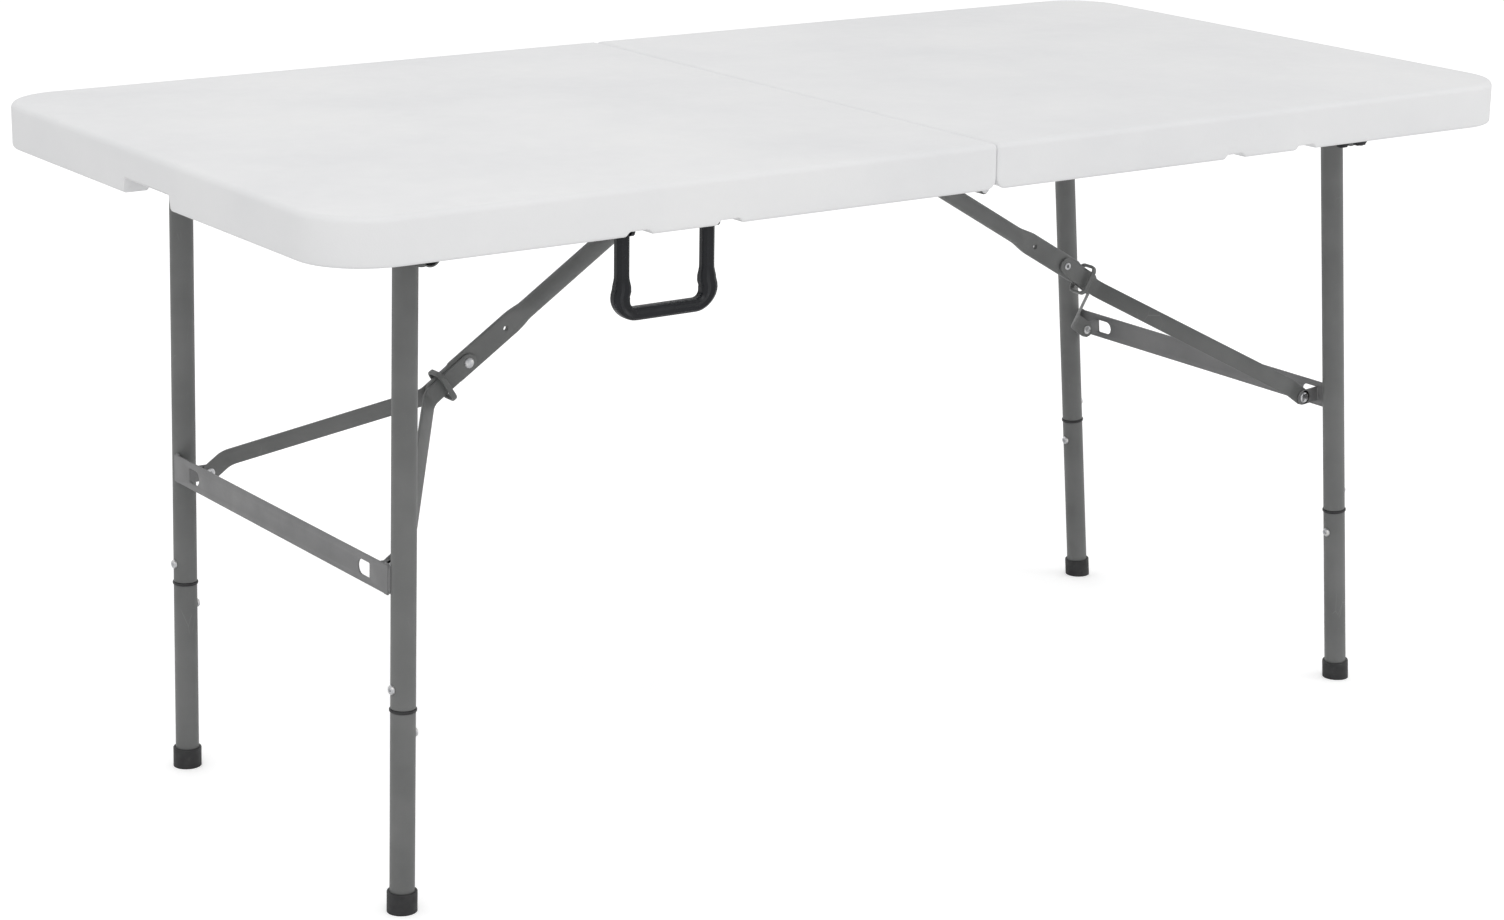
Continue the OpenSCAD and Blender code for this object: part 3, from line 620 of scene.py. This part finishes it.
for s in (-1, 1):
    side = SIDE[s]
    # cross bar: plate with D-holes, outward faces at local x 12.75..14.75
    M = legM(s) @ mirX(s) @ T(0, 0, -BDN)
    bh, bz = 235.0, 15.0
    rc = 1.6
    outer = []
    for cx, cy, a0 in ((bh - rc, bz - rc, 0), (-bh + rc, bz - rc, 90), (-bh + rc, -bz + rc, 180), (bh - rc, -bz + rc, 270)):
        outer += arc_pts(cx, cy, rc, a0, a0 + 90, 3)
    holes = []
    for sy in (-1, 1):
        h = []
        x1 = sy * 198.9
        h += arc_pts(sy * 183, 0, 7.9, 90, 270, 12) if sy > 0 else arc_pts(sy * 183, 0, 7.9, 90, -90, 12)
        h += [(x1 - sy * 1.0, -7.9), (x1, -6.9), (x1, 6.9), (x1 - sy * 1.0, 7.9)]
        holes.append(h)
    v, f = extrude_plate(outer, holes, 2.0, 0.5)
    P = Matrix(((0, 0, 1, 12.75), (1, 0, 0, 0), (0, 1, 0, 0), (0, 0, 0, 1)))   # local (x, y, z) -> (z, x, y)
    b = Buf()
    b.add((v, f), M @ P)
    # ears with a bend radius where they leave the bar
    for sy in (-1, 1):
        rings = []
        yo = sy * (EARY - 1.0)
        path = [(13.75, sy * (EARY + 1.6), 0.0)]
        bend = []
        cx, cy, br = 13.75 - 2.6, sy * (EARY + 1.6), 2.6
        for k in range(7):
            a = math.radians(90 * k / 6)
            bend.append((cx + br * math.cos(a), cy - sy * br * math.sin(a)))
        line = bend + [(8.0, yo), (0.0, yo), (-9.0, yo)]
        sec_n = None
        for i, (x, y) in enumerate(line):
            a = Vector(line[min(i + 1, len(line) - 1)]) - Vector(line[max(i - 1, 0)])
            a.normalize()
            nx, ny = -a.y, a.x
            hh = 8.8 if x > -8.9 else 8.8
            ring = [(x + nx * q, y + ny * q, p) for p, q in section(2 * hh, 1.9, 0.5)]
            rings.append(ring)
        b.add(loft(rings), M)
        v, f = extrude_plate(arc_pts(0, 0, 8.9, 0, 360, 36)[:-1], [arc_pts(0, 0, 3.1, 0, 360, 20)[:-1]], 1.9, 0.4)
        b.add((v, f), M @ T(-EARIN, yo + 0.95 if sy > 0 else yo + 0.95, 0) @ Matrix.Rotation(math.radians(90), 4, "X"))
    o = make("cross_bar_" + side, b.v, b.f, BAR, 30)
    rep(o, side + "_cross_bar")
    # weld beads between the bar ends and the legs
    b = Buf()
    for sy in (-1, 1):
        b.add(weld_bead((12.3, sy * 235.6, -14.2), (12.3, sy * 235.6, 14.2), 1.9, 9, 0.7 * sy), M)
        b.add(weld_bead((12.5, sy * 233.4, 15.0), (12.9, sy * 226.0, 15.2), 1.3, 4, 1.3), M)
        b.add(weld_bead((12.5, sy * 233.4, -15.0), (12.9, sy * 226.0, -15.2), 1.3, 4, 2.1), M)
    o = make("bar_welds_" + side, b.v, b.f, BAR, 60)
    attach(o, side + "_cross")

    # arms
    for sy, nm in ((-1, "front"), (1, "rear")):
        L = EB[s]
        y0, y1, t = 3.15, EARY - 2.3 - 3.0, 3.0
        ctr = []
        for x, y in ((-9.99, y0), (-9.0, y0), (-6.0, y0), (0.0, y0), (52.0, y0)):
            ctr.append((x, y + t / 2))
        x2 = L - 24.0
        sl = (y1 - y0) / (x2 - 58.0)
        # soft bends at both ends of the slanted run
        for k in range(1, 7):
            u = k / 7.0
            xx = 52.0 + 12.0 * u
            ctr.append((xx, y0 + t / 2 + sl * 12.0 * u * u / 2))
        ctr.append((64.0, y0 + t / 2 + sl * 6.0))
        ctr.append((x2 - 6.0, y1 + t / 2 - sl * 6.0))
        for k in range(1, 7):
            u = k / 7.0
            xx = x2 - 6.0 + 12.0 * u
            ctr.append((xx, y1 + t / 2 - sl * 12.0 * (1 - u) ** 2 / 2))
        for xx in (x2 + 6.0, L, L + 6.0, L + 9.0, L + 9.99):
            ctr.append((xx, y1 + t / 2))
        rings = []
        for i, (x, y) in enumerate(ctr):
            if x < 0:
                hw = math.sqrt(max(0.05, 100 - x * x))
            elif x > L:
                hw = math.sqrt(max(0.05, 100 - (x - L) ** 2))
            else:
                hw = 10.0
            a = Vector(ctr[min(i + 1, len(ctr) - 1)]) - Vector(ctr[max(i - 1, 0)])
            a.normalize()
            nx, ny = -a.y, a.x
            rings.append([(x + nx * q, sy * (y + ny * q), p) for p, q in section(2 * hw, t - 0.04, min(0.9, hw * 0.5), 3)])
        v, f = loft(rings)
        o = make("arm_%s_%s" % (side, nm), v, f, GREY, 30, armM(s))
        rep(o, "%s_arm_%s" % (side, nm))

    # knee rivet: domed head on the left, rolled hollow head on the right
    def dome(r, h, n=8):
        return [(r * math.cos(math.radians(90 * k / n)) if k < n else 0.0, h * math.sin(math.radians(90 * k / n))) for k in range(n + 1)]
    b = Buf()
    for sy in (-1, 1):
        M = armM(s) @ (Matrix.Scale(-1, 4, (0, 1, 0)) if sy < 0 else Matrix.Identity(4)) @ T(0, 6.18, 0) @ YUP
        if s < 0:
            pr = [(0, -0.3), (5.2, -0.3), (5.5, 0.0), (5.5, 0.5)] + [(r, z + 0.5) for r, z in dome(5.3, 2.0)]
            b.add(revolve(pr, 40), M)
        else:
            pr = [(1.7, -0.2), (4.0, -0.2), (4.4, 0.3), (4.3, 0.9), (3.7, 1.5), (3.0, 1.6), (2.2, 1.3), (1.7, 0.6)]
            b.add(revolve(pr, 40, True), M)
    b.add(revolve([(0, -6), (2.95, -6), (2.95, 6), (0, 6)] if s > 0 else [(0, -6.3), (2.95, -6.3), (2.95, 6.3), (0, 6.3)], 32), armM(s) @ YUP)
    o = make("knee_rivet_" + side, b.v, b.f, ZINC, 40)
    rep(o, side + "_knee_rivet")

    # ear rivets
    b = Buf()
    M = legM(s) @ mirX(s) @ T(-EARIN, 0, -BDN)
    for sy in (-1, 1):
        F = Matrix.Scale(-1, 4, (0, 1, 0)) if sy < 0 else Matrix.Identity(4)
        pr = [(0, -0.2), (6.0, -0.2), (6.3, 0.1), (6.3, 0.5)] + [(r, z + 0.5) for r, z in dome(6.0, 1.8)]
        b.add(revolve(pr, 40), M @ F @ T(0, EARY + 0.06, 0) @ YUP)
        pr = [(1.3, 0.5), (2.2, 1.45), (3.8, 1.45), (5.2, 0.9), (5.4, 0.2), (5.2, 0.0), (1.3, 0.0)]
        b.add(revolve(pr, 40, True), M @ F @ T(0, 195.64, 0) @ YUP @ Matrix.Scale(-1, 4, (0, 0, 1)))
        b.add(revolve([(0, 0), (2.9, 0), (2.9, 6), (0, 6)], 28), M @ F @ T(0, 195.4, 0) @ YUP)
    o = make("ear_rivets_" + side, b.v, b.f, ZINC, 40)
    rep(o, side + "_ear_rivets")

    # upper link: round tube pressed flat towards the knee
    C = CE[s]
    N = 48
    xs = [-56.48, -56.2, -55.4, -54.2, -52.4, -50.0, -46, -30, -25, -24, -22, -20.5, -19, -17, -16, 0, 20, 40, 50, 58, 62] + [64 + 2.0 * k for k in range(0, 16)] + [100, 110] + [120 + (C - 120 - 8) * k / 6 for k in range(7)]
    rings = []
    for x in xs:
        if x < -46:
            h = math.sqrt(max(0.03, 10.5 ** 2 - (x + 46) ** 2))
        elif x <= -24:
            h = 10.5
        elif x < -17:
            h = 10.5 + 2.5 * (x + 24) / 7
        elif x < 62:
            h = 13.0
        else:
            h = 13.0 - 3.0 * smooth01((x - 62) / 30)
        u = smooth01((x - 58) / 34)
        t = 2.98 + (10.0 - 2.98) * (u ** 1.15)
        e = 2.0 + 5.0 * (1 - smooth01((x - 56) / 30))
        ring = []
        for k in range(N):
            a = 2 * math.pi * k / N
            ca, sa = math.cos(a), math.sin(a)
            pw = 2.0 / e
            ring.append((x, t * math.copysign(abs(ca) ** pw, ca), h * math.copysign(abs(sa) ** (2.0 / (2.0 + (e - 2.0) * 0.35)), sa)))
        rings.append(ring)
    v, f = loft(rings)
    o = make("upper_link_" + side, v, f, GREY, 35, linkM(s))
    cb = Buf()
    cb.add(revolve([(0, -12), (3.0, -12), (3.0, 12), (0, 12)], 24), linkM(s) @ T(56, 0, 0) @ YUP)
    cut = make("cut_link_" + side, cb.v, cb.f, GREY)
    mod = o.modifiers.new("cut", "BOOLEAN")
    mod.operation = "DIFFERENCE"
    mod.solver = "EXACT"
    mod.object = cut
    bpy.context.view_layer.update()
    me = bpy.data.meshes.new_from_object(o.evaluated_get(bpy.context.evaluated_depsgraph_get()))
    o.modifiers.clear()
    bpy.data.objects.remove(cut)
    o.data = me
    me.shade_smooth()
    me.set_sharp_from_angle(angle=math.radians(35))
    rep(o, side + "_upper_link")

    # lock ring: oval band with rounded rims
    rz, ry, rt, th = 15.6, 11.0, 3.2, 6.0
    rings = []
    PN = 72
    def oval(g, k):
        """Point k on the ring's outline grown by g."""
        hz, hy, r = rz + g, ry + g, 5.5 + g
        per = [(hz - r, hy - r, 0), (-(hz - r), hy - r, 90), (-(hz - r), -(hy - r), 180), (hz - r, -(hy - r), 270)]
        q, j = divmod(k, PN // 4)
        cx, cy, a0 = per[q]
        a = math.radians(a0 + 90 * j / (PN // 4 - 1))
        return Vector((cx + r * math.cos(a), cy + r * math.sin(a)))
    for k in range(PN):
        p_in, p_out = oval(0.0, k), oval(rt, k)
        n = (p_out - p_in)
        L = n.length
        n.normalize()
        sec = []
        for q, w in section(L, th, 1.45, 5):
            pt = p_in + n * (L / 2 + q)
            sec.append((w, pt.y, -pt.x))
        rings.append(sec)
    b = Buf()
    # it hangs on the tongue's upper edge
    b.add(loft(rings, closed=True), linkM(s) @ T(-36, 0, -2.2 if s < 0 else 2.2))
    o = make("lock_ring_" + side, b.v, b.f, GREY, 45)
    rep(o, side + "_lock_ring")

# ------------------------------------------------------------------ carry handle

HY, HZ = -344.0, 690.0
def handle():
    span, drop = 98.4, 89.0
    # centre line of the U from the left pivot to the right one
    pts = []
    top = 3.0
    for z in (5.4, 5.0, 4.0, 2.0, 0.0, -15.0, -30.0, -42.0, -46.0, -50.0, -54.0, -58.0):
        pts.append((-span / 2, z))
    r = 17.0
    zb = -drop + 6.6
    xo = -span / 2 - 1.6
    side = [(xo, -63.0)]
    cx, cz = xo + r, zb + r
    bend = [(cx + r * math.cos(math.radians(180 + 90 * k / 10)), cz + r * math.sin(math.radians(180 + 90 * k / 10))) for k in range(11)]
    pts += side + bend
    half = pts
    full = half + [(-x, z) for x, z in half[::-1]]
    rings = []
    for i, (x, z) in enumerate(full):
        a = Vector(full[min(i + 1, len(full) - 1)]) - Vector(full[max(i - 1, 0)])
        a.normalize()
        nx, nz = -a.y, a.x
        # width across the path and thickness in Y grow towards the grip
        g = smooth01((-z - 44.0) / 14.0)
        corner = 0.0
        if z > 0:
            c = math.sqrt(max(0.01, 1 - (z / 5.5) ** 2))
            w, t = 7.0, 5.5 * max(c, 0.12)
        else:
            w, t = 7.0 + 2.0 * g, 5.5 + 1.5 * g
            if abs(x) < span / 2 - 12:
                w = 6.6
            elif abs(a.x) > 0.05:
                w = 9.0 - 2.4 * smooth01(abs(a.x))
        ch = 0.42 * t
        # eight-sided section with wide bevels, a shallow groove on the outer face
        sec = [(w, -t + ch * 1.6), (w - 0.7, -t + ch * 0.7), (w * 0.52, -t), (0.0, -t + 0.9 * g + 0.25), (-w * 0.52, -t), (-w + 0.7, -t + ch * 0.7), (-w, -t + ch * 1.6),
               (-w, t - ch), (-w * 0.7, t), (0.0, t), (w * 0.7, t), (w, t - ch)]
        rings.append([(x + nx * p, q, z + nz * p) for p, q in sec])
    v, f = loft(rings)
    M = T(-HX, HY, HZ)
    o = make("carry_handle_bail", v, f, BLACK, 14, M)
    bv = o.modifiers.new("edge", "BEVEL")
    bv.width = 0.0005
    bv.segments = 2
    bv.limit_method = "ANGLE"
    bv.angle_limit = math.radians(18)
    rep(o, "carry_handle")
handle()

# ------------------------------------------------------------------ edge latch hook

def latch():
    b = Buf()
    def slab(outer, t, M):
        b.add(extrude_plate(outer, [], t, 0.9), M)
    X0 = Matrix(((1, 0, 0, 534), (0, 0, -1, -346 + 3.9), (0, 1, 0, 699), (0, 0, 0, 1)))   # local xy -> XZ plane, thickness along -Y
    body = [(-20.2, -12.6), (-20.2, 1.8), (-18.0, 3.6), (18.0, 3.6), (20.2, 1.8), (20.2, -12.6), (19.4, -18.2), (7.0, -18.3), (6.0, -13.6), (-5.0, -13.6), (-9.2, -18.3), (-18.6, -18.3)]
    slab(rounded(body, 1.0, 3, True), 7.8, X0)
    o = make("edge_latch_hook", b.v, b.f, BLACK, 30)
    rep(o, "latch_hook")
latch()

# ------------------------------------------------------------------ carried-over parts

def carry(n, mat, w=0.0004):
    o = nodes[n]
    o.data.materials.clear()
    o.data.materials.append(mat)
    if w:
        m = o.modifiers.new("edge", "BEVEL")
        m.width = w
        m.segments = 2
        m.limit_method = "ANGLE"
        m.angle_limit = math.radians(50)
        m.use_clamp_overlap = True

for n, o in nodes.items():
    if o.hide_render:
        continue
    if "rail" in n or "bracket" in n and "screw" not in n and "handle" not in n or "leaves" in n:
        carry(n, GREY)
    elif "screw" in n or n == "hinge_pins" or "sleeve" in n:
        carry(n, ZINC, 0)
    elif "pivot" in n:
        carry(n, GREY, 0)
    elif n in ("handle_brackets", "latch_base", "latch_catch"):
        carry(n, BLACK, 0.0005)
    else:
        carry(n, GREY, 0)

# ------------------------------------------------------------------ stage, light, camera

me = bpy.data.meshes.new("floor")
me.from_pydata([(-14, -10, 0), (14, -10, 0), (14, 16, 0), (-14, 16, 0)], [], [[0, 1, 2, 3]])
floor = bpy.data.objects.new("floor", me)
sc.collection.objects.link(floor)
fm, nt, b = new_mat("floor_pale")
c = coords(nt)
nt.links.new(ramp(nt, noise(nt, c, 1.5, 3.0), [(0.3, (0.86, 0.86, 0.86)), (0.7, (0.90, 0.90, 0.90))]), b.inputs["Base Color"])
b.inputs["Roughness"].default_value = 0.85
# the backdrop reads as clean white paper to the camera
lp = nt.nodes.new("ShaderNodeLightPath")
b.inputs["Emission Color"].default_value = (1, 1, 1, 1)
nt.links.new(maprange(nt, lp.outputs["Is Camera Ray"], 0.0, 1.0, 0.0, 0.33), b.inputs["Emission Strength"])
me.materials.append(fm)

w = bpy.data.worlds.new("studio")
sc.world = w
w.use_nodes = True
w.node_tree.nodes["Background"].inputs[0].default_value = (1.0, 1.0, 1.0, 1)
wn = w.node_tree
lp = wn.nodes.new("ShaderNodeLightPath")
wn.links.new(maprange(wn, lp.outputs["Is Camera Ray"], 0.0, 1.0, 0.85, 1.05), wn.nodes["Background"].inputs[1])

def area(name, loc, target, size, power, col=(1, 1, 1)):
    l = bpy.data.lights.new(name, "AREA")
    l.shape = "RECTANGLE"
    l.size, l.size_y = size
    l.energy = power
    l.color = col
    o = bpy.data.objects.new(name, l)
    sc.collection.objects.link(o)
    o.location = loc
    o.rotation_euler = (Vector(target) - Vector(loc)).to_track_quat("-Z", "Y").to_euler()
    return o

area("key", (-1.8, -2.6, 3.6), (0, 0, 0.5), (3.0, 2.4), 30)
area("fill", (3.4, -2.2, 1.8), (0.2, 0, 0.45), (1.6, 2.2), 14)
area("rim", (0.5, 4.0, 2.6), (0, 0, 0.5), (4.0, 1.4), 10)

try:
    sc.view_settings.view_transform = "Standard"
    sc.view_settings.look = "None"
    sc.view_settings.exposure = 0.0
except Exception:
    pass

cam = bpy.data.cameras.new("cam")
co = bpy.data.objects.new("cam", cam)
sc.collection.objects.link(co)
az, el, roll, dist = math.radians(-35.82), math.radians(15.06), math.radians(1.01), 3.86213
target = Vector((0.01683, 0.0, 0.37010))
back = Vector((math.sin(az) * math.cos(el), -math.cos(az) * math.cos(el), math.sin(el)))
pos = target + back * dist
fwd = -back
right = fwd.cross(Vector((0, 0, 1))).normalized()
up = right.cross(fwd).normalized()
r2 = right * math.cos(roll) + up * math.sin(roll)
u2 = -right * math.sin(roll) + up * math.cos(roll)
m = Matrix((r2, u2, back)).transposed().to_4x4()
m.translation = pos
co.matrix_world = m
cam.sensor_fit = "HORIZONTAL"
cam.sensor_width = 36.0
cam.lens = 3416.16 * 36.0 / 1504.0
cam.shift_x = (752.0 - 787.39) / 1504.0
cam.shift_y = (410.88 - 460.0) / 1504.0
cam.clip_end = 60
sc.camera = co
